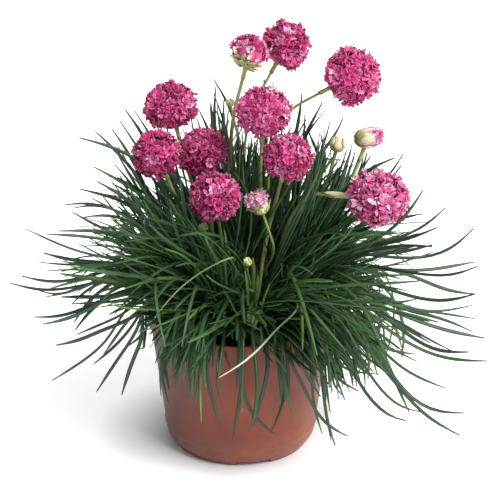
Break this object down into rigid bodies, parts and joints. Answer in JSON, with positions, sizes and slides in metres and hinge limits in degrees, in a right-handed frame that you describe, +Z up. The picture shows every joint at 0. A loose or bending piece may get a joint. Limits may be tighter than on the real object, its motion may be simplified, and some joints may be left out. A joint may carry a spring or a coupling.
{
  "type": "potted sea thrift",
  "caption": "Sea thrift in a round plastic nursery pot: a dome of narrow arching leaves with globe-shaped heads of pink florets on bare stems.",
  "frame": {"origin": "the middle of the object's box at the level of the pot's feet, on the pot's axis", "axes": "+Z up along the pot's axis, -Y towards the side that faces the viewer, +X to the viewer's right"},
  "size_m": [0.278, 0.256, 0.2459],
  "materials": {
    "pot_plastic": "satin",
    "potting_soil": "matte",
    "rootstock_wood": "matte",
    "stem_green": "satin",
    "papery_bracts": "matte",
    "pink_petals": "matte",
    "bud_scales": "matte",
    "leaf_green": "satin"
  },
  "bodies": {
    "root": {"pot": "pot_plastic", "soil": "potting_soil", "rootstock": "rootstock_wood", "flower_stem_01": "stem_green", "flower_stem_02": "stem_green", "flower_stem_03": "stem_green", "flower_stem_04": "stem_green", "flower_stem_05": "stem_green", "flower_stem_06": "stem_green", "flower_stem_07": "stem_green", "flower_stem_08": "stem_green", "flower_stem_09": "stem_green", "flower_stem_10": "stem_green", "flower_stem_11": "stem_green", "flower_stem_12": "stem_green", "flower_stem_13": "stem_green", "flower_stem_14": "stem_green", "flower_stem_15": "stem_green", "flower_stem_16": "stem_green", "bract_cup_01": "papery_bracts", "bract_cup_02": "papery_bracts", "bract_cup_03": "papery_bracts", "bract_cup_04": "papery_bracts", "bract_cup_05": "papery_bracts", "bract_cup_06": "papery_bracts", "bract_cup_07": "papery_bracts", "bract_cup_08": "papery_bracts", "bract_cup_09": "papery_bracts", "bract_cup_10": "papery_bracts", "bract_cup_11": "papery_bracts", "flower_head_01": "pink_petals", "flower_head_02": "pink_petals", "flower_head_03": "pink_petals", "flower_head_04": "pink_petals", "flower_head_05": "pink_petals", "flower_head_06": "pink_petals", "flower_head_07": "pink_petals", "flower_head_08": "pink_petals", "flower_head_09": "pink_petals", "flower_head_10": "pink_petals", "flower_head_11": "pink_petals", "flower_bud_12": "bud_scales", "flower_bud_13": "bud_scales", "flower_bud_14": "bud_scales", "flower_bud_15": "bud_scales", "flower_bud_16": "bud_scales", "leaf_tuft_01": "leaf_green", "leaf_tuft_02": "leaf_green", "leaf_tuft_03": "leaf_green", "leaf_tuft_04": "leaf_green", "leaf_tuft_05": "leaf_green", "leaf_tuft_06": "leaf_green", "leaf_tuft_07": "leaf_green", "leaf_tuft_08": "leaf_green", "leaf_tuft_09": "leaf_green", "leaf_tuft_10": "leaf_green", "leaf_tuft_11": "leaf_green", "leaf_tuft_12": "leaf_green", "leaf_tuft_13": "leaf_green", "leaf_tuft_14": "leaf_green"}
  },
  "joints": []
}
